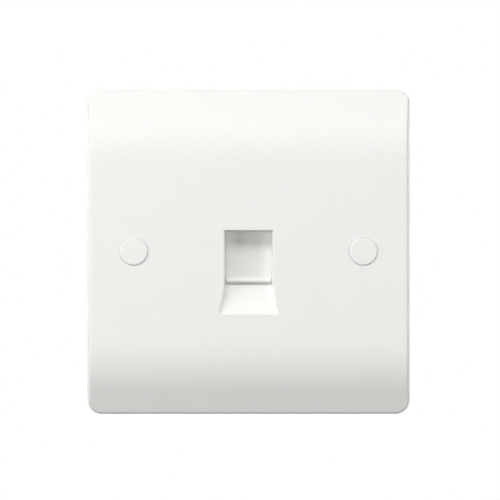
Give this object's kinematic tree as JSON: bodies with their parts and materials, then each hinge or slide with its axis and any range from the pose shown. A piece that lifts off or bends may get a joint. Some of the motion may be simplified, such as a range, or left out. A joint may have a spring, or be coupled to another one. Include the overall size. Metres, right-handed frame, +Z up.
{
  "type": "ethernet wall socket",
  "caption": "Wall plate with a crowned white front, a sprung shutter over an ethernet jack, capped fixing screws and punch-down terminals behind.",
  "frame": {"origin": "middle of the plate on the wall plane, midway between the two fixing screws", "axes": "+X to the right of a person facing the wall, +Y into the wall, +Z up"},
  "size_m": [0.086, 0.0318, 0.0866],
  "materials": {
    "face_plastic": "moulded white plastic, smooth gloss",
    "carrier_plastic": "moulded off-white plastic, satin",
    "jack_plastic": "moulded black plastic",
    "terminal_plastic": "moulded white plastic, satin",
    "board_laminate": "glass laminate under green solder resist",
    "contact_gold": "gold plated bronze strip",
    "terminal_tin": "tin plated bronze blade",
    "plated_steel": "zinc plated",
    "spring_steel": "drawn wire"
  },
  "bodies": {
    "root": {"faceplate": "face_plastic", "screw_cap_left": "face_plastic", "screw_cap_right": "face_plastic", "fixing_screws": "plated_steel", "carrier_screws": "plated_steel", "shutter_spring": "spring_steel", "jack_carrier": "carrier_plastic", "jack_housing": "jack_plastic", "contact_insert": "jack_plastic", "circuit_board": "board_laminate", "idc_block_left": "terminal_plastic", "idc_block_right": "terminal_plastic", "jack_contact_1": "contact_gold", "jack_contact_2": "contact_gold", "jack_contact_3": "contact_gold", "jack_contact_4": "contact_gold", "jack_contact_5": "contact_gold", "jack_contact_6": "contact_gold", "jack_contact_7": "contact_gold", "jack_contact_8": "contact_gold", "idc_terminal_1": "terminal_tin", "idc_terminal_2": "terminal_tin", "idc_terminal_3": "terminal_tin", "idc_terminal_4": "terminal_tin", "idc_terminal_5": "terminal_tin", "idc_terminal_6": "terminal_tin", "idc_terminal_7": "terminal_tin", "idc_terminal_8": "terminal_tin"},
    "shutter": {"shutter": "face_plastic"}
  },
  "joints": [
    {"name": "shutter_slide", "type": "slide", "parent": "root", "child": "shutter", "axis": [0, 0, 1], "range_m": [0, 0.012], "stiffness_N_per_m": 100, "springref_m": -0.003, "deforming": ["shutter_spring"]}
  ]
}
